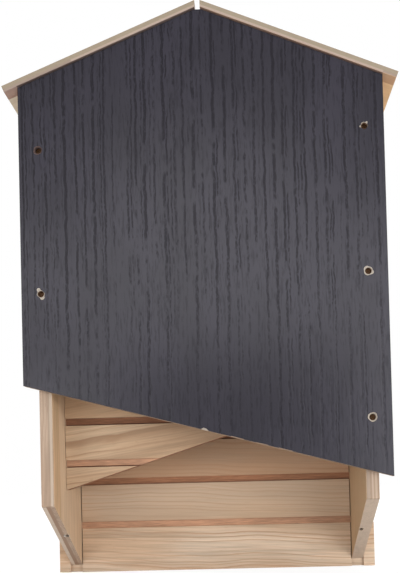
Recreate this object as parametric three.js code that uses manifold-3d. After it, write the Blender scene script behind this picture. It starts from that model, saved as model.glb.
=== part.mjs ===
// Bat box for a wall: two roosting chambers behind a dark front board, under a gabled roof of two boards.
// Millimetres, +Z up. The front faces -Y, and +X is to the right of someone looking at it.
// The origin is on the rear face of the back board, where the box lies against its wall.
import * as THREE from 'three';
import { mergeVertices } from 'three/addons/utils/BufferGeometryUtils.js';
import Module from 'manifold-3d';

const wasm = await Module();
wasm.setup();

// Front and back boards, which share one width and one gable
const board_overhang = 10; // how far they reach past the side panels, on each side
const shoulder_height = 384; // from the foot of the back board up to the start of the gable
const gable_rise = 57;
const apex_flat = 6;
const back_thickness = 10;
const front_thickness = 8;
const front_left_drop = 230; // shoulder down to the slanted lower edge, at the left
const front_right_drop = 306;
const mount_height = 200; // foot of the back board up to the origin

// Side panels
const box_width = 260; // outer face to outer face
const side_thickness = 10;
const chamber_depth = 90; // back board to front board, partition included
const taper_height = 61.5; // where the tapered edge leaves the front edge
const taper_foot = 8; // where the tapered edge meets the back board
const housing_depth = 3; // vertical slots in the back board that hold the side panels

// Partition between the two chambers
const partition_thickness = 10;
const front_chamber_depth = 38;
const partition_left_foot = 73.5;
const partition_right_foot = 148.5;
const partition_top_drop = 20; // below the shoulder, so that bats can cross over

// Saw-cut grooves that the bats climb by
const groove_height = 6;
const groove_depth = 3;
const back_groove_pitch = 38.5;
const partition_groove_pitch = 34.3;
const partition_first_groove = 92;
const groove_top_margin = 12; // left plain at the top of a grooved board

// Roof boards
const roof_thickness = 5;
const roof_side_overhang = 10;
const roof_front_overhang = 1.5;
const roof_rear_setback = 1;
const ridge_gap = 4;

// Screws through the front board, set deep in countersunk holes
const front_screw_length = 32;
const front_screw_radius = 1.4;
const front_screw_point = 3;
const front_screw_head_radius = 2.2;
const front_screw_head_height = 0.8;
const front_screw_neck = 1.2;
const front_screw_depth = 2.2; // from the board's face down to the top of the head
const front_screw_pitch = 111;
const right_screw_drop = 39; // shoulder down to the top screw
const left_screw_drop = 49;
const right_screw_count = 3;
const left_screw_count = 2;
const countersink_radius = 3.8;
const countersink_depth = 1.4;
const cross_slot_width = 0.6;
const cross_slot_depth = 0.8;
const cross_slot_share = 0.8; // of the head's diameter

// Long nails from behind, through the back board into the side panels
const rear_nail_length = 57;
const rear_nail_radius = 1.1;
const rear_nail_point = 3.5;
const rear_nail_head_radius = 2.4;
const rear_nail_inset = 8; // from the side panel's outer face
const rear_nail_show = 0.7; // how far the lowest one's point stands out of the tapered edge
const upper_rear_nail_shares = [0.45, 0.9]; // of the shoulder's height

// Short nails for the roof and the partition
const nail_length = 25;
const nail_radius = 0.8;
const nail_head_radius = 1.7;
const nail_head_height = 0.7;
const nail_point = 2;
const nail_sink = 0.2; // top of the head below the wood
const roof_nail_shares = [0.22, 0.8]; // of a roof board's length, from the ridge
const partition_nail_shares = [0.16, 0.84]; // of the partition's height at that end

// Keyhole plate let into the rear face, and the pocket behind it for the head of a wall screw
const plate_width = 52;
const plate_height = 24;
const plate_thickness = 1.5;
const plate_corner = 3;
const plate_rows = 8; // the plate lies above this groove of the back board
const keyhole_radius = 4.5;
const keyhole_slot_radius = 2.3;
const keyhole_travel = 8;
const pocket_margin = 1.5; // around the keyhole
const pocket_depth = 5;
const plate_screw_spacing = 40;
const plate_screw_length = 6.5;
const plate_screw_radius = 1.2;
const plate_screw_head_radius = 2.5;
const plate_screw_neck = 1.2;
const plate_screw_head_height = 0.3;
const plate_screw_point = 1.5;

// Fits and roundness
const fit_gap = 0.3; // between pieces that touch
const overrun = 2; // how far a cut runs past the face that it leaves
const weld_distance = 0.0001;
const round_steps = 12;
const corner_steps = 5;

const finishes = {
  dark_board: new THREE.MeshStandardMaterial({ color: 0x434247, roughness: 0.62, metalness: 0 }),
  pine: new THREE.MeshStandardMaterial({ color: 0xc9ab88, roughness: 0.72, metalness: 0 }),
  roof_pine: new THREE.MeshStandardMaterial({ color: 0xc2a586, roughness: 0.72, metalness: 0 }),
  bronze_screw: new THREE.MeshStandardMaterial({ color: 0x5b4230, roughness: 0.45, metalness: 0.8 }),
  steel_nail: new THREE.MeshStandardMaterial({ color: 0x8b8781, roughness: 0.4, metalness: 0.9 }),
  zinc_plate: new THREE.MeshStandardMaterial({ color: 0xb4b6b8, roughness: 0.38, metalness: 0.9 }),
};

// Places worked out from the sizes above; heights are above the foot of the back board
const half_box = box_width / 2;
const half_board = half_box + board_overhang;
const half_inside = half_box - side_thickness;
const gable_slope = gable_rise / half_board;
const gable_angle = Math.atan(gable_slope);
const gable_height = (x) => shoulder_height + (half_board - Math.abs(x)) * gable_slope;
const back_face = -back_thickness;
const side_rear = back_face + housing_depth - fit_gap;
const side_front = back_face - chamber_depth;
const front_rear = side_front - fit_gap;
const front_face = front_rear - front_thickness;
const partition_front = front_rear - fit_gap + front_chamber_depth;
const partition_rear = partition_front + partition_thickness;
const side_centre = half_box - side_thickness / 2;
const taper_slope = (taper_height - taper_foot) / chamber_depth;
const taper_edge = (depth) => taper_foot + (depth - back_thickness) * taper_slope;

// A closed geometry as a solid, with its doubled corners and its empty triangles taken out.
function solid_of(geometry) {
  const bare = geometry.clone();
  bare.deleteAttribute('normal');
  bare.deleteAttribute('uv');
  const merged = mergeVertices(bare, weld_distance);
  const corners = merged.index.array;
  const kept = [];
  for (let i = 0; i < corners.length; i += 3) {
    const [a, b, c] = corners.slice(i, i + 3);
    if (a !== b && b !== c && c !== a) kept.push(a, b, c);
  }
  const vertProperties = merged.attributes.position.array;
  return new wasm.Manifold(new wasm.Mesh({ numProp: 3, vertProperties, triVerts: new Uint32Array(kept) }));
}

function geometry_of(solid) {
  const { vertProperties, triVerts } = solid.getMesh();
  const indexed = new THREE.BufferGeometry();
  indexed.setAttribute('position', new THREE.BufferAttribute(new Float32Array(vertProperties), 3));
  indexed.setIndex(new THREE.BufferAttribute(new Uint32Array(triVerts), 1));
  const faceted = indexed.toNonIndexed();
  faceted.computeVertexNormals();
  return faceted;
}

const join = (solids) => solids.reduce((whole, solid) => whole.add(solid));

function outline(points) {
  return new THREE.Shape(points.map(([a, b]) => new THREE.Vector2(a, b)));
}

// A board drawn as seen from the front, [x, height], running forward from its rear face.
function upright_board(shape, rear, thickness) {
  const settings = { depth: thickness, bevelEnabled: false, curveSegments: corner_steps };
  const geometry = new THREE.ExtrudeGeometry(shape, settings);
  return solid_of(geometry.rotateX(Math.PI / 2).translate(0, rear, 0));
}

// A board drawn as seen from the right, [y, height], running right from its left face.
function edgewise_board(points, left, thickness) {
  const geometry = new THREE.ExtrudeGeometry(outline(points), { depth: thickness, bevelEnabled: false });
  const turn = new THREE.Matrix4().makeBasis(
    new THREE.Vector3(0, 1, 0), new THREE.Vector3(0, 0, 1), new THREE.Vector3(1, 0, 0));
  return solid_of(geometry.applyMatrix4(turn).translate(left, 0, 0));
}

function block([x0, x1], [y0, y1], [z0, z1]) {
  const box = new THREE.BoxGeometry(x1 - x0, y1 - y0, z1 - z0);
  return solid_of(box.translate((x0 + x1) / 2, (y0 + y1) / 2, (z0 + z1) / 2));
}

// A round piece along Y. Its profile is [radius, y], lowest point first, and starts and ends on the axis.
function turned(profile) {
  return solid_of(new THREE.LatheGeometry(profile.map(([r, y]) => new THREE.Vector2(r, y)), round_steps));
}

// A nail or screw with the top of its head at y = 0 and its point towards -Y.
function fastener_solid({ length, point, radius, head_radius, head_height, neck, crossed }) {
  const pin = turned([
    [0, -length], [radius, point - length], [radius, -head_height - neck],
    [head_radius, -head_height], [head_radius, 0], [0, 0],
  ]);
  if (!crossed) return pin;
  const arm = head_radius * cross_slot_share;
  const half_slot = cross_slot_width / 2;
  const slot = block([-arm, arm], [-cross_slot_depth, overrun], [-half_slot, half_slot]);
  const across = block([-half_slot, half_slot], [-cross_slot_depth, overrun], [-arm, arm]);
  return pin.subtract(slot.add(across));
}

// The hole for that fastener, with clearance all round and a mouth that starts at its sunk depth.
function bore_solid({ length, radius, head_radius, head_height, neck, sink, countersunk }) {
  const wide = head_radius + fit_gap;
  const narrow = radius + fit_gap;
  const mouth = countersunk
    ? [[wide, sink - countersink_depth], [countersink_radius, sink], [countersink_radius, sink + overrun]]
    : [[wide, sink + overrun]];
  return turned([
    [0, -length - fit_gap], [narrow, -length - fit_gap], [narrow, -head_height - neck - fit_gap],
    [wide, -head_height - fit_gap], ...mouth, [0, sink + overrun],
  ]);
}

const front_screw = {
  length: front_screw_length, point: front_screw_point, radius: front_screw_radius,
  head_radius: front_screw_head_radius, head_height: front_screw_head_height, neck: front_screw_neck,
  sink: front_screw_depth, countersunk: true, crossed: true, finish: finishes.bronze_screw,
};
const rear_nail = {
  length: rear_nail_length, point: rear_nail_point, radius: rear_nail_radius,
  head_radius: rear_nail_head_radius, head_height: nail_head_height, neck: 0,
  sink: 0, finish: finishes.steel_nail,
};
const short_nail = {
  length: nail_length, point: nail_point, radius: nail_radius,
  head_radius: nail_head_radius, head_height: nail_head_height, neck: 0,
  sink: nail_sink, finish: finishes.steel_nail,
};
const plate_screw = {
  length: plate_screw_length, point: plate_screw_point, radius: plate_screw_radius,
  head_radius: plate_screw_head_radius, head_height: plate_screw_head_height, neck: plate_screw_neck,
  sink: 0, crossed: true, finish: finishes.zinc_plate,
};

// Every fastener is driven from a point on the wood's surface in a given direction.
const fasteners = [];
function drive(name, kind, surface, direction) {
  const along = new THREE.Vector3(...direction).normalize();
  const place = new THREE.Vector3(...surface).addScaledVector(along, kind.sink);
  const turn = new THREE.Quaternion().setFromUnitVectors(new THREE.Vector3(0, -1, 0), along);
  fasteners.push({ name, kind, place, turn });
}

function drive_front_screws() {
  const sides = [['left', -side_centre, left_screw_drop, left_screw_count],
    ['right', side_centre, right_screw_drop, right_screw_count]];
  for (const [side, x, drop, count] of sides) {
    for (let row = 0; row < count; row++) {
      const height = shoulder_height - drop - row * front_screw_pitch;
      drive(`front_screw_${side}_${row + 1}`, front_screw, [x, front_face, height], [0, 1, 0]);
    }
  }
}

function drive_rear_nails() {
  const lowest = taper_edge(rear_nail_length - rear_nail_show);
  const heights = [lowest, ...upper_rear_nail_shares.map((share) => share * shoulder_height)];
  for (const [side, x] of [['left', rear_nail_inset - half_box], ['right', half_box - rear_nail_inset]]) {
    heights.forEach((height, row) => {
      drive(`rear_nail_${side}_${row + 1}`, rear_nail, [x, 0, height], [0, -1, 0]);
    });
  }
}

function drive_partition_nails() {
  const middle = partition_rear - partition_thickness / 2;
  const top = shoulder_height - partition_top_drop;
  for (const [side, sign, foot] of [['left', -1, partition_left_foot], ['right', 1, partition_right_foot]]) {
    partition_nail_shares.forEach((share, row) => {
      const surface = [sign * half_box, middle, foot + share * (top - foot)];
      drive(`partition_nail_${side}_${row + 1}`, short_nail, surface, [-sign, 0, 0]);
    });
  }
}

// The roof's underside lies a fit gap above the gables, and both its faces follow their slope.
const roof_lift = fit_gap / Math.cos(gable_angle);
const roof_rise = roof_thickness / Math.cos(gable_angle);
const eave_x = half_board + roof_side_overhang;
const roof_length = (eave_x - ridge_gap / 2) / Math.cos(gable_angle);

function drive_roof_nails() {
  const rows = [['front', front_rear - front_thickness / 2], ['rear', -back_thickness / 2]];
  for (const [side, sign] of [['left', -1], ['right', 1]]) {
    for (const [row, y] of rows) {
      roof_nail_shares.forEach((share, place) => {
        const x = ridge_gap / 2 + share * roof_length * Math.cos(gable_angle);
        const surface = [sign * x, y, gable_height(x) + roof_lift + roof_rise];
        const direction = [-sign * Math.sin(gable_angle), 0, -Math.cos(gable_angle)];
        drive(`roof_nail_${side}_${row}_${place + 1}`, short_nail, surface, direction);
      });
    }
  }
}

// The middle of the land above a groove of the back board
const land_centre = (row) => row * back_groove_pitch + (back_groove_pitch + groove_height) / 2;

function drive_plate_screws() {
  for (const [side, x] of [['left', -plate_screw_spacing / 2], ['right', plate_screw_spacing / 2]]) {
    drive(`hanger_screw_${side}`, plate_screw, [x, 0, land_centre(plate_rows)], [0, -1, 0]);
  }
}

function gabled_outline(left_foot, right_foot) {
  return outline([
    [-half_board, left_foot], [half_board, right_foot], [half_board, shoulder_height],
    [apex_flat / 2, gable_height(apex_flat / 2)], [-apex_flat / 2, gable_height(apex_flat / 2)],
    [-half_board, shoulder_height],
  ]);
}

// Level saw cuts across the front of a board, from the first height up to its plain top margin.
function grooves(first, pitch, top, half_width, face) {
  const cuts = [];
  for (let low = first; low + groove_height + groove_top_margin < top; low += pitch) {
    cuts.push(block([-half_width - overrun, half_width + overrun],
      [face - overrun, face + groove_depth], [low, low + groove_height]));
  }
  return join(cuts);
}

function keyhole(grow, depth) {
  const low = land_centre(plate_rows) - keyhole_travel / 2;
  const round = (radius, height) => solid_of(new THREE.CylinderGeometry(
    radius, radius, depth + overrun, round_steps * 2).translate(0, (overrun - depth) / 2, height));
  const slot = keyhole_slot_radius + grow;
  return join([round(keyhole_radius + grow, low), round(slot, low + keyhole_travel),
    block([-slot, slot], [-depth, overrun], [low, low + keyhole_travel])]);
}

function plate_outline(grow) {
  const [x, z, r] = [plate_width / 2 + grow, plate_height / 2 + grow, plate_corner + grow];
  const middle = land_centre(plate_rows);
  const shape = new THREE.Shape();
  shape.absarc(x - r, middle + z - r, r, 0, Math.PI / 2);
  shape.absarc(r - x, middle + z - r, r, Math.PI / 2, Math.PI);
  shape.absarc(r - x, middle - z + r, r, Math.PI, Math.PI * 3 / 2);
  shape.absarc(x - r, middle - z + r, r, Math.PI * 3 / 2, Math.PI * 2);
  return shape;
}

function make_back_board() {
  const housings = [-half_box, half_box - side_thickness].map((left) => block(
    [left - fit_gap, left + side_thickness + fit_gap],
    [back_face - overrun, back_face + housing_depth],
    [-overrun, gable_height(0) + overrun]));
  const recess_depth = plate_thickness + fit_gap;
  return upright_board(gabled_outline(0, 0), 0, back_thickness)
    .subtract(grooves(back_groove_pitch, back_groove_pitch, shoulder_height, half_board, back_face))
    .subtract(join(housings))
    .subtract(upright_board(plate_outline(fit_gap), overrun, overrun + recess_depth))
    .subtract(keyhole(pocket_margin, pocket_depth));
}

function make_front_board() {
  return upright_board(
    gabled_outline(shoulder_height - front_left_drop, shoulder_height - front_right_drop),
    front_rear, front_thickness);
}

// A side panel tapers to a sharp foot at the back board, and its top follows the gable.
function make_side_panel(left) {
  const sharp_foot = taper_edge(-side_rear);
  const above = gable_height(0) + overrun;
  const under_roof = upright_board(outline([
    [-half_board, 0], [half_board, 0], [half_board, shoulder_height],
    [0, gable_height(0)], [-half_board, shoulder_height],
  ]), 0, -front_face);
  return edgewise_board([
    [side_rear, sharp_foot], [side_rear, above], [side_front, above], [side_front, taper_height],
  ], left, side_thickness).intersect(under_roof);
}

function make_partition() {
  const half = half_inside - fit_gap;
  const top = shoulder_height - partition_top_drop;
  return upright_board(
    outline([[-half, partition_left_foot], [half, partition_right_foot], [half, top], [-half, top]]),
    partition_rear, partition_thickness)
    .subtract(grooves(partition_first_groove, partition_groove_pitch, top, half, partition_front));
}

// A roof board is cut plumb at the ridge and square to its slope at the eave.
function make_roof_board(sign) {
  const [ridge, lift] = [ridge_gap / 2, (x) => gable_height(x) + roof_lift];
  const eave = gable_height(half_board) - roof_side_overhang * gable_slope + roof_lift;
  const points = [
    [ridge, lift(ridge)], [eave_x, eave],
    [eave_x + roof_thickness * Math.sin(gable_angle), eave + roof_thickness * Math.cos(gable_angle)],
    [ridge, lift(ridge) + roof_rise],
  ].map(([x, height]) => [sign * x, height]);
  const front = front_face - roof_front_overhang;
  return upright_board(outline(points), -roof_rear_setback, -roof_rear_setback - front);
}

function make_hanger_plate() {
  return upright_board(plate_outline(0), 0, plate_thickness).subtract(keyhole(0, plate_thickness + overrun));
}

drive_front_screws();
drive_rear_nails();
drive_partition_nails();
drive_roof_nails();
drive_plate_screws();

const box = new THREE.Group();
box.position.z = -mount_height;

function add_piece(name, solid, finish) {
  const mesh = new THREE.Mesh(geometry_of(solid), finish);
  mesh.name = name;
  box.add(mesh);
  return mesh;
}

// The boards, each cut by the holes of the fasteners that pass through it
const bores = join(fasteners.map(({ kind, place, turn }) => {
  const seat = new THREE.Matrix4().compose(place, turn, new THREE.Vector3(1, 1, 1));
  return bore_solid(kind).transform(seat.toArray());
}));
const boards = [
  ['back_board', make_back_board(), finishes.pine],
  ['left_side_panel', make_side_panel(-half_box), finishes.pine],
  ['right_side_panel', make_side_panel(half_box - side_thickness), finishes.pine],
  ['partition_board', make_partition(), finishes.pine],
  ['front_board', make_front_board(), finishes.dark_board],
  ['left_roof_board', make_roof_board(-1), finishes.roof_pine],
  ['right_roof_board', make_roof_board(1), finishes.roof_pine],
  ['hanger_plate', make_hanger_plate(), finishes.zinc_plate],
];
for (const [name, solid, finish] of boards) add_piece(name, solid.subtract(bores), finish);

for (const { name, kind, place, turn } of fasteners) {
  const mesh = add_piece(name, fastener_solid(kind), kind.finish);
  mesh.position.copy(place);
  mesh.quaternion.copy(turn);
}

const group = new THREE.Group();
group.add(box);
export default group;
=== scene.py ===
import math
import random

import bmesh
import bpy
import numpy as np
from mathutils import Matrix, Vector
from mathutils.noise import noise as wave


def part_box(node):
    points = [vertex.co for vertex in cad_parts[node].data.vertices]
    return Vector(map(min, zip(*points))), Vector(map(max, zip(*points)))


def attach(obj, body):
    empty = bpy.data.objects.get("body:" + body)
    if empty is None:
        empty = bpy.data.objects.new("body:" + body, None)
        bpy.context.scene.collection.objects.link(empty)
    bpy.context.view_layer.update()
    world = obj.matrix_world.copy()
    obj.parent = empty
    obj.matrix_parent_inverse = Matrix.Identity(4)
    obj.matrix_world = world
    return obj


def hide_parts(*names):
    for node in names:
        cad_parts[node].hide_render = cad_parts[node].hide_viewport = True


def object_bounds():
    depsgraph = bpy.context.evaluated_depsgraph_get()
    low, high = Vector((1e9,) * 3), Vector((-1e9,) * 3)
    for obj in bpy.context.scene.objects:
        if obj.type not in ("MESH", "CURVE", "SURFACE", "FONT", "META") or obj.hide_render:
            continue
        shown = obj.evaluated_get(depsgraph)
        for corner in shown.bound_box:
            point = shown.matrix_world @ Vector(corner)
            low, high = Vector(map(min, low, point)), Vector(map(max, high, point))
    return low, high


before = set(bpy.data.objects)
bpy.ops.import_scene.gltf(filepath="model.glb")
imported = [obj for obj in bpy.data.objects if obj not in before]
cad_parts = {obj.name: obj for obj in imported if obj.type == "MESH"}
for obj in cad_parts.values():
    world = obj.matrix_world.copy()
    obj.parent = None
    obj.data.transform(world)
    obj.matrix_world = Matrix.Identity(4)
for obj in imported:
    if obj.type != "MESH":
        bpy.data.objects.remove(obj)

cad_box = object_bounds()
mm = 0.001
inside_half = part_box("right_side_panel")[0].x

# The photograph's frame and the camera that took it
image_width, image_height = 400, 573
sensor_width = 36.0
focal_length_px = 733.1
principal_point_px = (231.7, 469.2)
camera_place = Vector((29.8, -662.6, -124.8)) * mm
camera_yaw, camera_pitch, camera_roll = (math.radians(angle) for angle in (1.26, 1.15, 1.45))
nearest_seen = 10 * mm

# Room: softboxes as (place, width and height, power), then dark cards that only reflections see, as (place,
# width and height, turn)
ambient_strength = 0.29
softboxes = [
    ((-0.95, -1.25, -0.05), (0.8, 0.8), 7.2),
    ((0.85, -1.3, 0.0), (0.8, 0.8), 12.4),
    ((0.0, -0.42, -0.19), (0.9, 0.35), 0.8),
    ((0.25, 1.3, 0.75), (1.0, 1.0), 4.0),
    ((0.0, -0.6, 1.5), (1.6, 1.6), 12.0),
    ((-0.45, 0.25, -0.15), (0.3, 0.3), 1.9),
    ((0.45, 0.25, -0.15), (0.3, 0.3), 1.9),
]
facing_front, facing_side, lying = (math.pi / 2, 0.0, 0.0), (math.pi / 2, 0.0, math.pi / 2), (0.0, 0.0, 0.0)
dark_cards = [
    ((0.01, -0.8, -0.075), (0.44, 0.36), facing_front),
    ((-0.52, -1.4, 0.66), (0.34, 0.3), facing_front),
    ((0.5, -1.4, 0.74), (0.54, 0.36), facing_front),
    ((-0.35, -0.8, 0.13), (0.11, 0.14), facing_front),
    ((0.0, -0.7, 0.71), (4.0, 1.2), lying),
    ((-1.3, -0.55, 0.3), (1.0, 1.2), facing_side),
    ((1.3, -0.55, 0.3), (1.0, 1.2), facing_side),
    ((-0.9, -0.55, -0.199), (1.2, 1.0), lying),
    ((0.9, -0.55, -0.199), (1.2, 1.0), lying),
]
floor_half, floor_gap = 8.0, 0.5 * mm
floor_glow, floor_glow_near, floor_glow_reach = 1.12, 0.82, (0.35, 0.9)

# Boards
edge_round, edge_round_steps = 0.45 * mm, 2
sharp_angle, flat_angle = math.radians(35), math.radians(0.5)
face_skin = 0.1 * mm
groove_depth = 3 * mm
kerf_height, kerf_side_gap = 1.0 * mm, 0.4 * mm
back_kerf_depth, partition_kerf_depth = 0.15 * mm, 0.8 * mm
gap_width, gap_depth = 0.8 * mm, 1.9 * mm
# Grooves above the last two heights, on the back board and the partition, are coloured darker as painted
# shade under the front board
lower_groove, back_shaded_groove_from, partition_shaded_groove_from = -1.0, -0.14, -0.09

# Woods, as the colours of early wood, late wood and the pinker patches
back_wood = ((0.705, 0.56, 0.425), (0.45, 0.255, 0.15), (0.58, 0.405, 0.27))
partition_wood = ((0.58, 0.42, 0.28), (0.36, 0.21, 0.12), (0.46, 0.30, 0.185))
side_face_wood = ((0.72, 0.51, 0.315), (0.49, 0.295, 0.165), (0.69, 0.47, 0.285))
side_edge_wood = ((0.45, 0.335, 0.25), (0.31, 0.20, 0.14), (0.41, 0.29, 0.21))
roof_wood = ((0.58, 0.465, 0.35), (0.42, 0.30, 0.215), (0.55, 0.415, 0.30))
core_wood = ((0.40, 0.295, 0.215), (0.30, 0.20, 0.13), (0.38, 0.27, 0.19))
torn_wood = ((0.45, 0.40, 0.345), (0.32, 0.25, 0.19), (0.40, 0.34, 0.28))
# Freshly torn wood is pale, and this one is made lighter still as painted light
splinter_wood_and_light = ((0.90, 0.86, 0.80), (0.7, 0.62, 0.52), (0.86, 0.8, 0.72))
waver_length = 0.085
wood_relief = 0.12 * mm

# Bands in which a board has another tint, as (lowest corner, highest corner, colour, share). far is past the
# whole bat box, for an axis on which a band has no limit
band_blur, far = 0.35 * mm, 1.0
# The lowest band is the mid land's own greyer tone. The two above it are painted shade under the front board
# and partition, made redder as painted light bounced between the boards
back_tints_and_painted_shade = [
    ((-far, -0.02, -0.1615), (far, -0.008, -0.122), (0.50, 0.34, 0.22), 0.6),
    ((-far, -0.02, -0.120), (far, -0.008, -0.1015), (0.52, 0.3, 0.17), 0.76),
    ((-far, -0.02, -0.1015), (far, -0.008, 0.26), (0.49, 0.285, 0.16), 0.78),
]
# The partition's upper face is made lighter and warmer as painted light, where the front board shades it
partition_painted_light = [((-far, -0.07, -0.0675), (far, -0.061, 0.2), (0.71, 0.46, 0.275), 0.5)]
# The left inner face is lighter towards the back. The right inner face is darker and redder all over as
# painted shade
side_face_tints_and_shade = {
    -1: [((-0.121, -0.08, -0.2), (-0.115, 0.0, 0.2), (0.80, 0.62, 0.45), 0.6)],
    1: [((0.115, -0.2, -0.2), (0.121, 0.1, 0.2), (0.55, 0.38, 0.225), 0.75)],
}
# Grain stripes along the front edges, a dark brown stripe beside a lighter outer one on the left taper, and
# the whole right taper lighter as painted light from below
side_edge_stripes_and_light = {
    -1: [((-0.1226, -0.11, -0.2), (-0.1206, -0.0985, 0.2), (0.56, 0.46, 0.365), 0.8),
         ((-0.1268, -0.0985, -0.2), (-0.1236, 0.0, 0.2), (0.30, 0.18, 0.115), 0.8),
         ((-0.14, -0.0985, -0.2), (-0.1268, 0.0, 0.2), (0.72, 0.60, 0.49), 0.7)],
    1: [((0.1205, -0.11, -0.2), (0.1228, -0.0985, 0.2), (0.40, 0.315, 0.25), 0.8),
        ((0.1246, -0.11, -0.2), (0.1254, -0.0985, 0.2), (0.62, 0.50, 0.40), 0.8),
        ((0.1268, -0.11, -0.2), (0.1285, -0.0985, 0.2), (0.60, 0.47, 0.36), 0.8),
        ((0.11, -0.0985, -0.2), (0.14, 0.0, 0.2), (0.62, 0.50, 0.395), 0.7)],
}

# Roof boards: the bands on their sawn front edge and underside
near_ridge = 5 * mm
roof_front_skin, roof_under_skin, roof_clear = 0.5 * mm, 0.2 * mm, 1 * mm
roof_foremost, roof_rearmost = -0.2, 0.1
roof_upper_height, roof_upper_colour = 3.3 * mm, (0.305, 0.25, 0.181)
roof_lower_height, roof_lower_colour = 1.7 * mm, (0.44, 0.335, 0.285)
roof_stain_height, roof_stain_colour = 2.0 * mm, (0.31, 0.235, 0.19)
roof_stain_span = {-1: (-75 * mm, -14 * mm), 1: (60 * mm, 75 * mm)}
# The undersides are pale and golden as painted light from below
roof_under_lit_colour = {-1: (0.63, 0.61, 0.52), 1: (0.76, 0.54, 0.31)}
# A darker strip along the front of each underside is painted shade over the front board
roof_under_front_shade_depth = 2 * mm
roof_under_front_shade_colour = {-1: (0.27, 0.15, 0.125), 1: (0.425, 0.255, 0.16)}
# The seam where a roof board rests on the front board is darkened as a painted contact shadow
roof_seam_shadow_depth = 3 * mm
roof_seam_shadow_colour = {-1: (0.085, 0.06, 0.056), 1: (0.19, 0.12, 0.105)}

# Charcoal coating of the front board
coat_grounds = ((0.0355, 0.033, 0.0430), (0.042, 0.0388, 0.052))
coat_deep_tone_and_shade = (0.0235, 0.0218, 0.0275)
coat_deep_from, coat_deep_to = 0.005 * mm, 0.085 * mm
coat_satin = (0.23, 0.27)
coat_gloss, coat_gloss_deep, coat_gloss_roughness, coat_shine = 0.98, 0.05, 0.26, 0.33
leather_relief, leather_strength = 0.03 * mm, 0.07

# Embossed grain of the front board: tracks of a strong line, with a thinner one beside it and one between
# tracks. Where a line would touch the one before it, it is left out
track_pitch, track_spread, track_margin = 7.8 * mm, 1.5 * mm, 2.5 * mm
strong_half_width, strong_width_range, strong_strength = 1.3 * mm, (0.75, 1.15), (0.5, 1.0)
thin_half_width = 0.75 * mm
partner_offset, partner_spread = 2.5 * mm, 0.35 * mm
partner_strength, partner_missing = (0.5, 0.9), (0.25, 0.45)
middle_place, middle_strength, middle_missing = (0.45, 0.6), (0.25, 0.5), 0.4
line_gap, line_margin = 0.3 * mm, 0.5 * mm
emboss_profile = [(-1.0, 0.0), (-0.6, 0.85), (0.0, 1.0), (0.6, 0.85), (1.0, 0.0)]
emboss_depth = 0.11 * mm
emboss_row = 1.5 * mm
emboss_drift, emboss_drift_length = 1.3 * mm, 90 * mm
emboss_kink, emboss_kink_width, emboss_kink_length = 0.9 * mm, 8 * mm, 9 * mm
emboss_jitter, emboss_jitter_width, emboss_jitter_length = 0.45 * mm, 6 * mm, 3.5 * mm
emboss_break_length, emboss_short_break = 24 * mm, 5 * mm
emboss_presence, emboss_runout = 0.65, 0.5
emboss_fade = 7 * mm
shallow_share, shallow_height, shallow_reach = 0.55, -0.02, 0.1
board_edge_round = 0.4 * mm
bare_arris, bare_arris_length, bare_arris_limit = (14 * mm, 70 * mm), 9 * mm, -0.05

# Screw holes of the front board and a chip in its lower edge. The coating is torn back to bare wood around
# most of the holes. For each screw: whether coating has run into the hole, the size of its mouth as a share,
# and the torn spurs as (angle in degrees, length, width in degrees)
hole_mouth_radius, hole_mouth_depth, hole_mouth_lip = 3.8 * mm, 0.5 * mm, 0.02 * mm
hole_radius, hole_depth = 2.5 * mm, 3.3 * mm
hole_neck_radius, hole_neck_depth = 1.7 * mm, 4.5 * mm
hole_overrun = 1 * mm
hole_steps = 40
hole_ragged, hole_raggedness = 0.25 * mm, 2.5
chip_place, chip_size, chip_ragged = -2.0 * mm, Vector((2.6, 0.9, 1.5)) * mm, 0.25
torn_holes = {
    "front_screw_left_1": (True, 0.86, [(235, 0.5 * mm, 50)]),
    "front_screw_left_2": (False, 0.73, [(116, 2.1 * mm, 23), (292, 1.8 * mm, 30), (345, 0.4 * mm, 30)]),
    "front_screw_right_1": (False, 0.7, [(55, 1.1 * mm, 16), (190, 1.1 * mm, 15), (120, 0.3 * mm, 30)]),
    "front_screw_right_2": (False, 0.87, [(340, 0.8 * mm, 26), (130, 0.7 * mm, 34), (235, 0.3 * mm, 40)]),
    "front_screw_right_3": (False, 0.9, [(60, 0.4 * mm, 30), (170, 0.4 * mm, 30), (290, 0.2 * mm, 30)]),
}

# Screws and nails, as (head radius, shank radius, head height, length of the point)
front_screw_size, front_screw_plain = (2.2 * mm, 1.4 * mm, 0.8 * mm, 3 * mm), 8 * mm
hanger_screw_size, hanger_screw_plain = (2.5 * mm, 1.2 * mm, 0.8 * mm, 1.5 * mm), 1.0 * mm
long_nail_size = (2.4 * mm, 1.1 * mm, 1.2 * mm, 3.5 * mm)
short_nail_size = (1.7 * mm, 0.8 * mm, 0.7 * mm, 2 * mm)
pin_steps = 24
pin_end = 0.02 * mm
grip_ridges, grip_start, grip_pitch = 4, 1.2 * mm, 0.8 * mm
square_share = 0.8
thread_rows, thread_crest = 9, 0.22
thread_runout_start, thread_runout_end = 1.5, 2.5
recess_reach, recess_half_width = 0.62, 0.14
recess_depth, recess_overrun, recess_taper = 0.7 * mm, 0.5 * mm, 0.45
rear_nail_show = 0.7 * mm
nail_chip = {-1: 2.5 * mm, 1: 1.4 * mm}


# Nodes

def plug(tree, socket, value):
    """Gives a socket a plain value or another node's output."""
    if isinstance(value, bpy.types.NodeSocket):
        tree.links.new(value, socket)
    else:
        socket.default_value = value


def add(tree, kind, sockets=None, **settings):
    made = tree.nodes.new("ShaderNode" + kind)
    for name, value in settings.items():
        setattr(made, name, value)
    for key, value in (sockets or {}).items():
        plug(tree, made.inputs[key], value)
    return made


def calc(tree, operation, first, second=0.0, third=0.0, clamp=False):
    sockets = {0: first, 1: second, 2: third}
    return add(tree, "Math", sockets, operation=operation, use_clamp=clamp).outputs[0]


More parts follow.
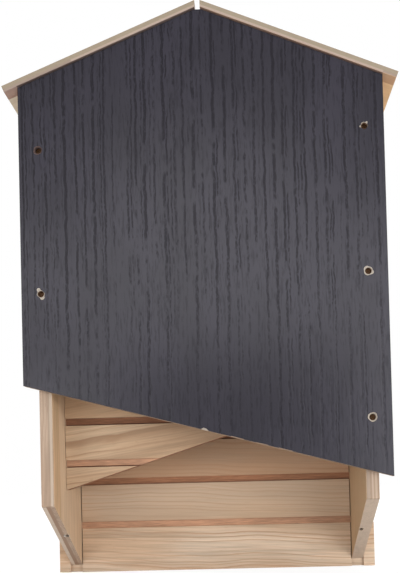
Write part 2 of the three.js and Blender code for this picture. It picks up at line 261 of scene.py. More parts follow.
def shift(tree, operation, first, second):
    return add(tree, "VectorMath", {0: first, 1: second}, operation=operation).outputs[0]


def scaled(tree, vector, factor):
    return add(tree, "VectorMath", {0: vector, "Scale": factor}, operation="SCALE").outputs[0]


def stretch(tree, place, along, across):
    """Counts a place in lengths along the grain and in widths across it."""
    return shift(tree, "MULTIPLY", place, (along, across, across))


def object_place(tree):
    return add(tree, "TexCoord").outputs["Object"]


def noise(tree, place, scale=1.0, detail=2.0, roughness=0.5):
    sockets = {"Vector": place, "Scale": scale, "Detail": detail, "Roughness": roughness}
    return add(tree, "TexNoise", sockets).outputs


def remap(tree, value, low, high, low_out=0.0, high_out=1.0, smooth=True):
    sockets = {"Value": value, "From Min": low, "From Max": high, "To Min": low_out, "To Max": high_out}
    kind = "SMOOTHSTEP" if smooth else "LINEAR"
    return add(tree, "MapRange", sockets, interpolation_type=kind).outputs[0]


def mix_colour(tree, share, first, second, blend="MIX"):
    made = tree.nodes.new("ShaderNodeMix")
    made.data_type, made.blend_type = "RGBA", blend
    for socket, value in zip((made.inputs[0], made.inputs[6], made.inputs[7]), (share, first, second)):
        plug(tree, socket, (*value, 1.0) if isinstance(value, tuple) else value)
    return made.outputs[2]


def toned(tree, colour, tone):
    """A colour made darker or lighter by a tone round 1."""
    grey = add(tree, "CombineColor", {0: tone, 1: tone, 2: tone}).outputs[0]
    return mix_colour(tree, 1.0, colour, grey, "MULTIPLY")


def relief(tree, shader, height, depth, strength):
    bump = add(tree, "Bump", {"Height": height, "Distance": depth, "Strength": strength})
    tree.links.new(bump.outputs[0], shader.inputs["Normal"])


def new_group(name, inputs, outputs):
    tree = bpy.data.node_groups.new(name, "ShaderNodeTree")
    for way, sockets in (("INPUT", inputs), ("OUTPUT", outputs)):
        for label, kind in sockets.items():
            tree.interface.new_socket(label, in_out=way, socket_type="NodeSocket" + kind)
    return tree, tree.nodes.new("NodeGroupInput").outputs, tree.nodes.new("NodeGroupOutput").inputs


def use_group(tree, group, **sockets):
    made = tree.nodes.new("ShaderNodeGroup")
    made.node_tree = group
    for key, value in sockets.items():
        plug(tree, made.inputs[key.replace("_", " ")], value)
    return made.outputs


def make_growth_rings():
    """Rings round a pith line that runs along X, with the dark late wood at the outer side of each."""
    tree, given, out = new_group(
        "growth rings",
        {"Place": "Vector", "Ring Width": "Float", "Waver": "Float", "Waver Length": "Float"},
        {"Late Wood": "Float", "Ring Tone": "Float"})
    slow = scaled(tree, given["Place"], calc(tree, "DIVIDE", 1.0, given["Waver Length"]))
    drift = shift(tree, "SUBTRACT", noise(tree, slow, detail=1.5)["Color"], (0.5, 0.5, 0.5))
    pushed = scaled(tree, drift, calc(tree, "MULTIPLY", given["Waver"], 4.0))
    parts = add(tree, "SeparateXYZ", {0: shift(tree, "ADD", given["Place"], pushed)}).outputs
    squares = calc(tree, "ADD", calc(tree, "POWER", parts["Y"], 2.0), calc(tree, "POWER", parts["Z"], 2.0))
    count = calc(tree, "DIVIDE", calc(tree, "SQRT", squares), given["Ring Width"])
    uneven = add(tree, "TexNoise", {"W": calc(tree, "MULTIPLY", count, 0.45), "Scale": 1.0, "Detail": 1.0},
                 noise_dimensions="1D").outputs["Fac"]
    ripple = noise(tree, stretch(tree, given["Place"], 45.0, 160.0))["Fac"]
    count = calc(tree, "MULTIPLY_ADD", uneven, 1.6, count)
    count = calc(tree, "MULTIPLY_ADD", ripple, 0.35, count)
    through = calc(tree, "FRACT", count)
    rise = remap(tree, through, 0.45, 0.93)
    fall = remap(tree, through, 0.93, 1.0, 1.0, 0.0)
    tree.links.new(calc(tree, "MULTIPLY", calc(tree, "POWER", rise, 1.6), fall), out["Late Wood"])
    tone = add(tree, "TexWhiteNoise", {"W": calc(tree, "FLOOR", count)}, noise_dimensions="1D").outputs
    tree.links.new(tone["Value"], out["Ring Tone"])
    return tree


def make_wood_fibre():
    """Fine streaks and short dark pores that lie along X."""
    tree, given, out = new_group("wood fibre", {"Place": "Vector"},
                                 {"Fibre": "Float", "Pores": "Float", "Patches": "Float"})
    streaks = noise(tree, stretch(tree, given["Place"], 22.0, 760.0), detail=3.0, roughness=0.6)["Fac"]
    broad = noise(tree, stretch(tree, given["Place"], 9.0, 190.0))["Fac"]
    both = calc(tree, "MULTIPLY_ADD", broad, 0.45, calc(tree, "MULTIPLY", streaks, 0.55))
    tree.links.new(both, out["Fibre"])
    pores = noise(tree, stretch(tree, given["Place"], 120.0, 1500.0), detail=1.0)["Fac"]
    tree.links.new(remap(tree, pores, 0.66, 0.74), out["Pores"])
    patches = noise(tree, stretch(tree, given["Place"], 7.0, 24.0))["Fac"]
    tree.links.new(remap(tree, patches, 0.3, 0.7), out["Patches"])
    return tree


def make_tinted_box():
    """Tints a colour inside a box with soft sides, and a little less where the fibre is low."""
    tree, given, out = new_group(
        "tinted box",
        {"Place": "Vector", "Lowest": "Vector", "Highest": "Vector", "Colour": "Color", "Tint": "Color",
         "Share": "Float", "Fibre": "Float"},
        {"Colour": "Color"})
    places, starts, stops = (add(tree, "SeparateXYZ", {0: given[each]}).outputs
                             for each in ("Place", "Lowest", "Highest"))
    share = given["Share"]
    for place, start, stop in zip(places, starts, stops):
        for past in (calc(tree, "SUBTRACT", place, start), calc(tree, "SUBTRACT", stop, place)):
            share = calc(tree, "MULTIPLY", share, remap(tree, past, -band_blur, band_blur))
    share = calc(tree, "MULTIPLY", share, remap(tree, given["Fibre"], 0.3, 0.6, 0.75, 1.0))
    tree.links.new(mix_colour(tree, share, given["Colour"], given["Tint"]), out["Colour"])
    return tree


def make_saw_marks():
    """Fine scratches that lie along X, over broader patches."""
    tree, given, out = new_group("saw marks", {"Place": "Vector"}, {"Lighter": "Float", "Scratches": "Float"})
    scratches = noise(tree, stretch(tree, given["Place"], 90.0, 2200.0), roughness=0.6)["Fac"]
    patches = noise(tree, stretch(tree, given["Place"], 14.0, 90.0))["Fac"]
    tone = calc(tree, "MULTIPLY_ADD", scratches, 0.6, calc(tree, "MULTIPLY", patches, 0.4))
    tree.links.new(remap(tree, tone, 0.35, 0.65), out["Lighter"])
    tree.links.new(scratches, out["Scratches"])
    return tree


def make_metal_wear():
    """Small rubbed spots all over, as raw marks and as a tone for the colour."""
    tree, given, out = new_group("metal wear", {"Place": "Vector", "Fineness": "Float"},
                                 {"Marks": "Float", "Tone": "Float"})
    marks = noise(tree, scaled(tree, given["Place"], given["Fineness"]), detail=3.0, roughness=0.6)["Fac"]
    tree.links.new(marks, out["Marks"])
    tree.links.new(remap(tree, marks, 0.3, 0.7, 0.82, 1.12), out["Tone"])
    return tree


growth_rings = make_growth_rings()
wood_fibre = make_wood_fibre()
tinted_box = make_tinted_box()
saw_marks = make_saw_marks()
metal_wear = make_metal_wear()


# Materials

def new_material(name):
    material = bpy.data.materials.new(name)
    material.use_nodes = True
    tree = material.node_tree
    return material, tree, tree.nodes["Principled BSDF"]


def pine_colour(tree, wood, pith, turn, ring_width, waver, late_strength):
    """Gives colour, height and fibre. pith is a point on the pith line, and turn takes X to the grain."""
    early, late, pinker = wood
    sockets = {"Vector": object_place(tree), "Location": pith, "Rotation": turn}
    along = add(tree, "Mapping", sockets, vector_type="TEXTURE").outputs[0]
    rings = use_group(tree, growth_rings, Place=along, Ring_Width=ring_width, Waver=waver,
                      Waver_Length=waver_length)
    fibre = use_group(tree, wood_fibre, Place=along)
    dark = calc(tree, "MULTIPLY", rings["Late Wood"], remap(tree, rings["Ring Tone"], 0.0, 1.0, 0.3, 1.0))
    dark = calc(tree, "MULTIPLY", dark, remap(tree, fibre["Patches"], 0.0, 1.0, 1.1, 0.6))
    dark = calc(tree, "MULTIPLY", dark, remap(tree, fibre["Fibre"], 0.3, 0.62, 0.6, 1.15))
    ground = mix_colour(tree, fibre["Patches"], early, pinker)
    colour = mix_colour(tree, calc(tree, "MULTIPLY", dark, late_strength, clamp=True), ground, late)
    colour = toned(tree, colour, remap(tree, fibre["Fibre"], 0.32, 0.68, 0.82, 1.15))
    colour = mix_colour(tree, calc(tree, "MULTIPLY", fibre["Pores"], 0.35), colour, late)
    height = calc(tree, "MULTIPLY_ADD", fibre["Fibre"], 0.6, calc(tree, "MULTIPLY", dark, 0.4))
    return colour, height, fibre["Fibre"]


def planed_pine(name, wood, pith, turn, ring_width, waver=2.5 * mm, late_strength=0.6, bands=(),
                bands_turn=(0.0, 0.0, 0.0)):
    """The boxes of the bands stand along axes that bands_turn turns."""
    material, tree, shader = new_material(name)
    colour, height, fibre = pine_colour(tree, wood, pith, turn, ring_width, waver, late_strength)
    sockets = {"Vector": object_place(tree), "Rotation": bands_turn}
    turned = add(tree, "Mapping", sockets, vector_type="TEXTURE").outputs[0]
    for low, high, tint, share in bands:
        colour = use_group(tree, tinted_box, Place=turned, Lowest=low, Highest=high, Colour=colour,
                           Tint=(*tint, 1.0), Share=share, Fibre=fibre)["Colour"]
    tree.links.new(colour, shader.inputs["Base Color"])
    tree.links.new(remap(tree, fibre, 0.2, 0.8, 0.72, 0.56), shader.inputs["Roughness"])
    shader.inputs["IOR"].default_value = 1.4
    relief(tree, shader, height, wood_relief, 0.5)
    return material


def sawn_pine(name, colour):
    """Wood with saw marks over the colour it is given: the redder inside of a saw cut, and the darker colours
    that are painted shade in grooves, kerfs, gaps and holes.
    """
    material, tree, shader = new_material(name)
    marks = use_group(tree, saw_marks, Place=object_place(tree))
    darker, lighter = (tuple(part * by for part in colour) for by in (0.72, 1.22))
    tree.links.new(mix_colour(tree, marks["Lighter"], darker, lighter), shader.inputs["Base Color"])
    shader.inputs["Roughness"].default_value = 0.85
    relief(tree, shader, marks["Scratches"], 0.15 * mm, 0.6)
    return material


def worn_metal(name, colour, metallic, roughness, spread, fineness=900.0):
    material, tree, shader = new_material(name)
    wear = use_group(tree, metal_wear, Place=object_place(tree), Fineness=fineness)
    tree.links.new(toned(tree, colour, wear["Tone"]), shader.inputs["Base Color"])
    shader.inputs["Metallic"].default_value = metallic
    satin = remap(tree, wear["Marks"], 0.3, 0.7, roughness - spread, roughness + spread)
    tree.links.new(satin, shader.inputs["Roughness"])
    relief(tree, shader, wear["Marks"], 0.03 * mm, 0.4)
    return material


def charcoal_coat(front):
    """Satin coating, darker at the bottom of its embossed lines, partly as the coating's own tone there and
    partly as painted shade in the recesses. front is the y of its outer face.
    """
    material, tree, shader = new_material("charcoal coating")
    place = object_place(tree)
    y = add(tree, "SeparateXYZ", {0: place}).outputs["Y"]
    ragged = noise(tree, stretch(tree, place, 900.0, 330.0), detail=3.0, roughness=0.65)["Fac"]
    depth = calc(tree, "MULTIPLY", calc(tree, "SUBTRACT", y, front), remap(tree, ragged, 0.3, 0.7, 0.4, 1.7))
    cloud = noise(tree, stretch(tree, place, 18.0, 9.0), detail=3.0)["Fac"]
    ground = mix_colour(tree, remap(tree, cloud, 0.35, 0.65), *coat_grounds)
    ticks = noise(tree, stretch(tree, place, 620.0, 90.0), roughness=0.6)["Fac"]
    worn = calc(tree, "MULTIPLY", remap(tree, ticks, 0.5, 0.68), 0.5)
    # Deep in the lines the colour darkens, partly as the coating's tone and partly as painted shade
    dark = calc(tree, "MAXIMUM", remap(tree, depth, coat_deep_from, coat_deep_to), worn)
    tree.links.new(mix_colour(tree, dark, ground, coat_deep_tone_and_shade), shader.inputs["Base Color"])
    fine = noise(tree, place, 1500.0, 3.0, 0.6)["Fac"]
    tree.links.new(remap(tree, fine, 0.3, 0.7, *coat_satin), shader.inputs["Roughness"])
    shader.inputs["Specular IOR Level"].default_value = coat_shine
    shader.inputs["Coat Roughness"].default_value = coat_gloss_roughness
    tree.links.new(remap(tree, dark, 0.0, 1.0, coat_gloss, coat_gloss_deep), shader.inputs["Coat Weight"])
    leather = noise(tree, stretch(tree, place, 1700.0, 700.0))["Fac"]
    relief(tree, shader, leather, leather_relief, leather_strength)
    return material


# Pieces

def place_object(name, mesh):
    made = bpy.data.objects.new(name, mesh)
    bpy.context.scene.collection.objects.link(made)
    return made


def new_mesh_object(name, build, *materials):
    mesh = bpy.data.meshes.new(name)
    build.to_mesh(mesh)
    build.free()
    for each in materials:
        mesh.materials.append(each)
    return place_object(name, mesh)


def stand_for(piece, node):
    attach(piece, "root")
    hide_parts(node)
    return piece


def smooth_sides(piece):
    piece.data.shade_smooth()
    piece.data.set_sharp_from_angle(angle=sharp_angle)
    return piece


def bake_modifiers(piece):
    graph = bpy.context.evaluated_depsgraph_get()
    mesh = bpy.data.meshes.new_from_object(piece.evaluated_get(graph), depsgraph=graph)
    piece.modifiers.clear()
    piece.data = mesh


def cut_away(piece, build, *materials):
    """Takes the solids in build out of a piece and gives the cut faces the solids' materials."""
    bmesh.ops.recalc_face_normals(build, faces=build.faces)
    cutter = new_mesh_object("cutter", build, *materials)
    cut = piece.modifiers.new("cut", "BOOLEAN")
    cut.operation, cut.solver, cut.material_mode, cut.object = "DIFFERENCE", "EXACT", "TRANSFER", cutter
    bake_modifiers(piece)
    bpy.data.objects.remove(cutter)


def add_block(build, low, high):
    for vert in bmesh.ops.create_cube(build, size=1.0)["verts"]:
        vert.co = [(a + b) / 2 + part * (b - a) for part, a, b in zip(vert.co, low, high)]


def close_rings(build, rings):
    """Joins rings of vertices into one closed body, and gives the rows of its side faces."""
    rows = []
    for first, second in zip(rings, rings[1:]):
        around = [*range(1, len(first)), 0]
        rows.append([build.faces.new((first[here], first[after], second[after], second[here]))
                     for here, after in enumerate(around)])
    build.faces.new(list(reversed(rings[0])))
    build.faces.new(rings[-1])
    return rows


def eased_board(node, face_wood, edge_wood=None, across=None, sawn=(), groove_front=None):
    """
    A copy of a board with its sharp edges eased. Faces that look along the axis number across are in
    face_wood, the others in edge_wood. Grooves cut into the face at y = groove_front are in the woods of
    sawn, each of which is (lowest z, wood). Gives the piece and the (lower edge, floor) of each groove.
    """
    build = bmesh.new()
    build.from_mesh(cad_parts[node].data)
    bmesh.ops.remove_doubles(build, verts=build.verts, dist=0.001 * mm)
    bmesh.ops.dissolve_limit(build, angle_limit=flat_angle, verts=build.verts, edges=build.edges)
    finishes = [wood for wood in (face_wood, edge_wood, *(wood for _, wood in sawn)) if wood]
    grooves = set()
    for face in build.faces:
        face.material_index = int(across is not None and abs(face.normal[across]) < 0.9)
        middle = face.calc_center_median()
        if not sawn or not groove_front + face_skin < middle.y < groove_front + groove_depth + face_skin:
            continue
        if abs(face.normal.x) < 0.5 and abs(middle.x) < inside_half:
            face.material_index = finishes.index([wood for lowest, wood in sawn if middle.z > lowest][-1])
            if abs(face.normal.y) > 0.9:
                grooves.add((round(min(vert.co.z for vert in face.verts), 6), round(middle.y, 6)))
    sharp = [e for e in build.edges if len(e.link_faces) == 2 and e.calc_face_angle() > sharp_angle]
    bmesh.ops.bevel(build, geom=sharp, offset=edge_round, offset_type="OFFSET", segments=edge_round_steps,
                    profile=0.5, affect="EDGES", clamp_overlap=True)
    piece = new_mesh_object("eased_" + node, build, *finishes)
    return stand_for(piece, node), sorted(grooves)


def cut_kerfs(piece, grooves, half_width, depth, wood):
    """The saw went a little deeper along the lower corner of each groove, and the kerf is coloured dark as
    painted shadow in that corner.
    """
    build = bmesh.new()
    for low, floor in grooves:
        add_block(build, (-half_width, floor - 0.3 * mm, low - 0.05 * mm),
                  (half_width, floor + depth, low + kerf_height))
    cut_away(piece, build, wood)


def cut_side_gaps(piece, front, foot, top, wood):
    """The back board's housings are a little wider than the side panels at their mouth, and the gap is
    coloured nearly black as painted shade.
    """
    build = bmesh.new()
    for side in (-1, 1):
        ends = sorted((side * (inside_half - gap_width), side * (inside_half + 0.2 * mm)))
        add_block(build, (ends[0], front - 1 * mm, foot), (ends[1], front + gap_depth, top))
    cut_away(piece, build, wood)


# Screws and nails

def axis_of(node, along=None):
    """Where the top of a pin's head is, the way from there to its point, and its length."""
    places = np.unique(np.array([v.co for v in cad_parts[node].data.vertices]).round(7), axis=0)
    centre = (places.min(0) + places.max(0)) / 2 if along is not None else places.mean(0)
    way = np.array(along) if along is not None else np.linalg.svd(places - centre)[2][0]
    steps = (places - centre) @ way
    off_axis = np.linalg.norm(places - centre - np.outer(steps, way), axis=1)
    middle = (steps.min() + steps.max()) / 2
    if off_axis[steps < middle].max() < off_axis[steps > middle].max():
        way, steps = -way, -steps
    return Vector(centre + way * steps.min()), Vector(way), float(steps.max() - steps.min())


def turned_pin(build, head, way, rings):
    """Adds a closed body of rings from head to point. A ring is (step, radius or a function of the angle)."""
    turn = way.to_track_quat("Z", "Y").to_matrix()
    loops = []
    for step, radius in rings:
        loop = []
        for index in range(pin_steps):
            angle = 2 * math.pi * index / pin_steps
            size = radius(angle) if callable(radius) else radius
            place = Vector((size * math.cos(angle), size * math.sin(angle), step))
            loop.append(build.verts.new(head + turn @ place))
        loops.append(loop)
    close_rings(build, loops)
    return turn


def cross_recess(head, turn, reach, half_width):
    """The solid that a cross recess takes out of a screw's head. Its arms get shorter with depth."""
    build = bmesh.new()
    loops = []
    for step, arm in ((-recess_overrun, reach), (recess_depth, reach * recess_taper)):
        loop = []
        for quarter in range(4):
            spin = Matrix.Rotation(quarter * math.pi / 2, 3, "Z")
            for x, y in ((arm, -half_width), (arm, half_width), (half_width, half_width)):
                loop.append(build.verts.new(head + turn @ spin @ Vector((x, y, step))))
        loops.append(loop)
    close_rings(build, loops)
    return build


def square_point(radius):
    return lambda angle: radius * square_share / max(abs(math.cos(angle)), abs(math.sin(angle)))


def make_nail(node, size, material):
    """A flat-headed nail with grip ridges under its head and a square point."""
    head_radius, shank_radius, head_height, point_length = size
    head, way, length = axis_of(node)
    shank, waist = shank_radius * 0.99, shank_radius * 0.9
    rings = [(0.0, head_radius * 0.86), (0.1 * mm, head_radius * 0.97), (0.25 * mm, head_radius),
             (head_height * 0.75, head_radius * 0.96), (head_height, head_radius * 0.8),
             (head_height + 0.25 * mm, shank_radius * 1.1)]
    for ridge in range(grip_ridges):
        step = head_height + grip_start + grip_pitch * ridge
        rings += [(step, shank), (step + 0.15 * mm, waist), (step + 0.45 * mm, shank)]
    rings += [(length - point_length, shank), (length - point_length * 0.8, square_point(shank_radius)),
              (length - pin_end, square_point(0.12 * mm))]
    build = bmesh.new()
    turned_pin(build, head, way, rings)
    return stand_for(smooth_sides(new_mesh_object("round_" + node, build, material)), node)


def thread_rings(start, stop, core, crest, pitch):
    """Rings whose radius rises to a sharp crest once in every turn, run out at both ends."""
    rows = math.ceil((stop - start) / pitch * thread_rows)
    rings = []
    for row in range(rows + 1):
        step = start + (stop - start) * row / rows
        runout = min(1.0, (step - start) / (thread_runout_start * pitch),
                     (stop - step) / (thread_runout_end * pitch) + 0.25)

        def radius(angle, step=step, runout=runout):
            phase = (step / pitch - angle / (2 * math.pi)) % 1.0
            return core + (crest - core) * runout * max(0.0, 1 - abs(phase - 0.5) / thread_crest)
        rings.append((step, radius))
    return rings


def make_screw(node, size, plain, material, along=None):
    """A countersunk screw with a cross recess. plain is how far its shank has no thread."""
    head_radius, shank_radius, head_height, point_length = size
    head, way, length = axis_of(node, along)
    core = shank_radius * 0.72
    start = head_height + plain
    rings = [(0.0, head_radius * 0.93), (0.06 * mm, head_radius * 0.99), (0.18 * mm, head_radius),
             (0.3 * mm, head_radius * 0.98), (head_height, shank_radius * 1.02),
             (start - 0.2 * mm, shank_radius * 0.95)]
    rings += thread_rings(start, length - point_length, core, shank_radius * 0.99, shank_radius * 1.3)
    rings += [(length - point_length * 0.4, core * 0.6), (length - pin_end, 0.08 * mm)]
    build = bmesh.new()
    turn = turned_pin(build, head, way, rings)
    piece = smooth_sides(new_mesh_object("threaded_" + node, build, material))
    recess = cross_recess(head, turn, head_radius * recess_reach, head_radius * recess_half_width)
    cut_away(piece, recess, material)
    return stand_for(piece, node)


# Front board

def outline_of_front_board():
    """Its lowest and highest corner, and its lowest and highest z at any x, read from the frame."""
    low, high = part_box("front_board")
    corners = np.array([v.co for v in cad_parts["front_board"].data.vertices])
    at_left = corners[corners[:, 0] < low.x + edge_round, 2]
    at_right = corners[corners[:, 0] > high.x - edge_round, 2]
    flat = corners[corners[:, 2] > high.z - edge_round, 0].max()
    shoulder = at_left.max()
    slope = (high.z - shoulder) / (high.x - flat)
    rise = (at_right.min() - at_left.min()) / (high.x - low.x)

    def foot(x):
        return at_left.min() + (x - low.x) * rise

    def top(x):
        return min(high.z, shoulder + (high.x - abs(x)) * slope)
    return low, high, foot, top


def emboss_lines(low, high):
    """The rest place of each embossed line, its half width, its strength and how much of it is missing."""
    chance = random.Random(11)
    wished, x = [], low + track_margin
    while x < high - track_margin:
        half_width = strong_half_width * chance.uniform(*strong_width_range)
        wished.append((x, half_width, chance.uniform(*strong_strength), 0.0))
        side = chance.choice((-1, 1))
        beside = x + side * (partner_offset + chance.uniform(-1, 1) * partner_spread)
        wished.append((beside, thin_half_width, chance.uniform(*partner_strength),
                       chance.uniform(*partner_missing)))
        middle = x + track_pitch * chance.uniform(*middle_place)
        wished.append((middle, thin_half_width, chance.uniform(*middle_strength), middle_missing))
        x += track_pitch + chance.uniform(-1, 1) * track_spread
    lines = []
    for line in sorted(wished):
        start, stop = line[0] - line[1], line[0] + line[1]
        if start > low + line_margin and stop < high - line_margin:
            if not lines or start > lines[-1][0] + lines[-1][1] + line_gap:
                lines.append(line)
    return lines


def sideways(x, z, edge):
    """How far the embossed grain has wandered there: slowly as one field, and in small kinks."""
    slow = emboss_drift * wave(Vector((x / emboss_drift_length, z / emboss_drift_length, 3.1)))
    kinks = emboss_kink * wave(Vector((x / emboss_kink_width, z / emboss_kink_length, 8.7)))
    small = emboss_jitter * wave(Vector((x / emboss_jitter_width, z / emboss_jitter_length, 1.9)))
    return (slow + kinks + small) * min(1.0, (edge - abs(x)) / emboss_fade)


def line_depth(x, z, strength, missing):
    """Depth of an embossed line, which runs out and starts again along its length and is shallow low down."""
    long_wave = wave(Vector((x / mm, z / emboss_break_length, 5.3)))
    short_wave = wave(Vector((x / mm, z / emboss_short_break, 2.2)))
    there = (long_wave + 0.5 * short_wave + emboss_presence - missing) / emboss_runout
    height = (z - shallow_height) / shallow_reach
    there, height = (min(1.0, max(0.0, share)) for share in (there, height))
    return emboss_depth * strength * there * (shallow_share + (1 - shallow_share) * height)


def front_board_mesh(low, high, foot, top):
    """Its vertices and faces, and which faces are bare wood: the rim, the inside and part of an arris."""
    columns = [(low.x, 0.0, 0.0, 1.0), (low.x + board_edge_round, 0.0, 0.0, 0.0)]
    for x, half_width, strength, missing in emboss_lines(low.x + board_edge_round, high.x - board_edge_round):
        columns += [(x, offset * half_width, strength * share, missing) for offset, share in emboss_profile]
    columns += [(high.x - board_edge_round, 0.0, 0.0, 0.0), (high.x, 0.0, 0.0, 1.0)]
    rows = math.ceil((high.z - low.z) / emboss_row)
    edge_share = board_edge_round / (high.z - low.z)
    shares = [0.0, edge_share, *[row / rows for row in range(1, rows)], 1 - edge_share, 1.0]
    wide, tall = len(columns), len(shares)
    verts = []
    for row, share in enumerate(shares):
        for column, (x, offset, strength, missing) in enumerate(columns):
            z = foot(x) + (top(x) - foot(x)) * share
            depth = line_depth(x, z, strength, missing) if strength else 0.0
            at = x + offset + (sideways(x, z, high.x) if 1 < column < wide - 2 else 0.0)
            z = foot(at) + (top(at) - foot(at)) * share
            if row in (0, tall - 1) or column in (0, wide - 1):
                depth = board_edge_round
            verts.append((at, low.y + depth, z))
    faces = [(r * wide + c, r * wide + c + 1, (r + 1) * wide + c + 1, (r + 1) * wide + c)
             for r in range(tall - 1) for c in range(wide - 1)]
    bare = []
    for number, face in enumerate(faces):
        x = verts[face[0]][0]
        worn = bare_arris[0] < x < bare_arris[1] and (
            wave(Vector((x / bare_arris_length, 0.0, 6.1))) > bare_arris_limit)
        bare.append(worn and number < wide - 1)
    rim = [*range(wide), *(r * wide + wide - 1 for r in range(1, tall)),
           *((tall - 1) * wide + c for c in range(wide - 2, -1, -1)),
           *(r * wide for r in range(tall - 2, 0, -1))]
    back = [len(verts) + i for i in range(len(rim))]
    verts += [(verts[i][0], high.y, verts[i][2]) for i in rim]
    after = [*range(1, len(rim)), 0]
    faces += [(rim[i], back[i], back[j], rim[j]) for i, j in enumerate(after)]
    faces.append(tuple(reversed(back)))
    bare += [True] * (len(faces) - len(bare))
    return verts, faces, bare


def mouth_radius(angle, share, spurs, seed):
    """Radius of a hole's torn mouth at an angle."""
    size = hole_mouth_radius * share
    across, up = hole_raggedness * math.cos(angle), hole_raggedness * math.sin(angle)
    size += hole_ragged * wave(Vector((across, up, seed)))
    for at, length, width in spurs:
        away = (math.degrees(angle) - at + 180) % 360 - 180
        size += length * math.exp(-(away / width) ** 4)
    return size


def hole_cutter(build, screw, front, rear):
    """Adds the solid that one screw's stepped hole takes out of the front board."""
    low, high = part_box(screw)
    x, z = (low.x + high.x) / 2, (low.z + high.z) / 2
    painted, share, spurs = torn_holes[screw]
    steps = [(front - hole_overrun, None), (front + hole_mouth_lip, None),
             (front + hole_mouth_depth, hole_radius), (front + hole_depth, hole_radius),
             (front + hole_neck_depth, hole_neck_radius), (rear + hole_overrun, hole_neck_radius)]
    rings = []
    for y, radius in steps:
        ring = []
        for step in range(hole_steps):
            angle = 2 * math.pi * step / hole_steps
            size = mouth_radius(angle, share, spurs, x / mm + z / mm) if radius is None else radius
            ring.append(build.verts.new((x + size * math.cos(angle), y, z + size * math.sin(angle))))
        rings.append(ring)
    for depth, row in enumerate(close_rings(build, rings)):
        for face in row:
            # Deep rows take the second material, whose darker colour is painted shade in the hole
            face.material_index = 2 if painted else int(depth > 1)


def chip_cutter(build, front, foot):
    """Adds the solid of the chip that is missing from the front board's lower edge."""
    for vert in bmesh.ops.create_uvsphere(build, u_segments=14, v_segments=9, radius=1.0)["verts"]:
        size = 1 + chip_ragged * wave(vert.co * 2.3)
        vert.co = Vector((chip_place + vert.co.x * chip_size.x * size, front + vert.co.y * chip_size.y,
                          foot(chip_place + vert.co.x * chip_size.x) + vert.co.z * chip_size.z * size))


def make_front_board(coat, core, torn, hole_wall_shade, painted):
    low, high, foot, top = outline_of_front_board()
    verts, faces, bare = front_board_mesh(low, high, foot, top)
    mesh = bpy.data.meshes.new("front_board_face")
    mesh.from_pydata(verts, [], faces)
    for each in (coat, core):
        mesh.materials.append(each)
    mesh.polygons.foreach_set("material_index", [int(is_bare) for is_bare in bare])
    board = place_object("embossed_front_board", mesh)
    build = bmesh.new()
    for screw in torn_holes:
        hole_cutter(build, screw, low.y, high.y)
    chip_cutter(build, low.y, foot)
    cut_away(board, build, torn, hole_wall_shade, painted)
    return stand_for(board, "front_board")


# Back board, partition, sides and roof

along_z = (0.0, -math.pi / 2, 0.0)


def make_back_board(groove_wood):
    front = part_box("back_board")[0].y
    pine = planed_pine("back board pine", back_wood, (0.0, 0.05, -0.75), (0.0, math.radians(1.5), 0.0),
                       3.7 * mm, 3.2 * mm, 0.8, back_tints_and_painted_shade)
    # Its upper groove is coloured darker and browner as painted shade
    shaded_back_groove_wood = sawn_pine("sawn pine in painted shade", (0.42, 0.2, 0.108))
    board, grooves = eased_board("back_board", pine, groove_front=front,
                                 sawn=[(lower_groove, groove_wood), (back_shaded_groove_from, shaded_back_groove_wood)])
    # The kerf colour is painted shadow along the grooves' lower corners
    cut_kerfs(board, grooves, inside_half - kerf_side_gap, back_kerf_depth,
              sawn_pine("kerf in lighter painted shadow", (0.30, 0.15, 0.09)))
    panel_low, panel_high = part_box("left_side_panel")
    # The nearly black gap colour is painted shade
    cut_side_gaps(board, front, panel_low.z, panel_high.z, sawn_pine("gap in painted shade", (0.05, 0.025, 0.015)))


def make_partition(groove_wood):
    low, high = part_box("partition_board")
    pine = planed_pine("partition pine", partition_wood, (0.0, 0.04, -0.5), (0.0, math.radians(-8), 0.0),
                       7.5 * mm, 3.5 * mm, 0.9, partition_painted_light)
    # Its upper groove is coloured much darker as painted shade under the front board
    shaded_partition_groove_wood = sawn_pine("sawn pine in deeper painted shade", (0.31, 0.14, 0.075))
    board, grooves = eased_board("partition_board", pine, groove_front=low.y,
                                 sawn=[(lower_groove, groove_wood), (partition_shaded_groove_from, shaded_partition_groove_wood)])
    # The very dark kerf colour is painted shadow along the grooves' lower corners
    cut_kerfs(board, grooves, high.x - kerf_side_gap, partition_kerf_depth,
              sawn_pine("kerf in painted shadow", (0.15, 0.06, 0.035)))


def make_side_panel(side, name, splinter):
    face = planed_pine(name + " side face", side_face_wood, (side * 0.22, 0.03, 0.0), along_z, 3.1 * mm,
                       1.6 * mm, 0.8, side_face_tints_and_shade[side])
    edge = planed_pine(name + " side edge", side_edge_wood, (side * 0.22, -0.035, 0.0), along_z, 2.5 * mm,
                       1.2 * mm, 0.85, side_edge_stripes_and_light[side])
    panel, _ = eased_board(name + "_side_panel", face, edge, across=0)
    head, way, length = axis_of(f"rear_nail_{name}_1")
    build = bmesh.new()
    bmesh.ops.create_icosphere(build, subdivisions=2, radius=nail_chip[side],
                               matrix=Matrix.Translation(head + way * (length - rear_nail_show)))
    cut_away(panel, build, splinter)


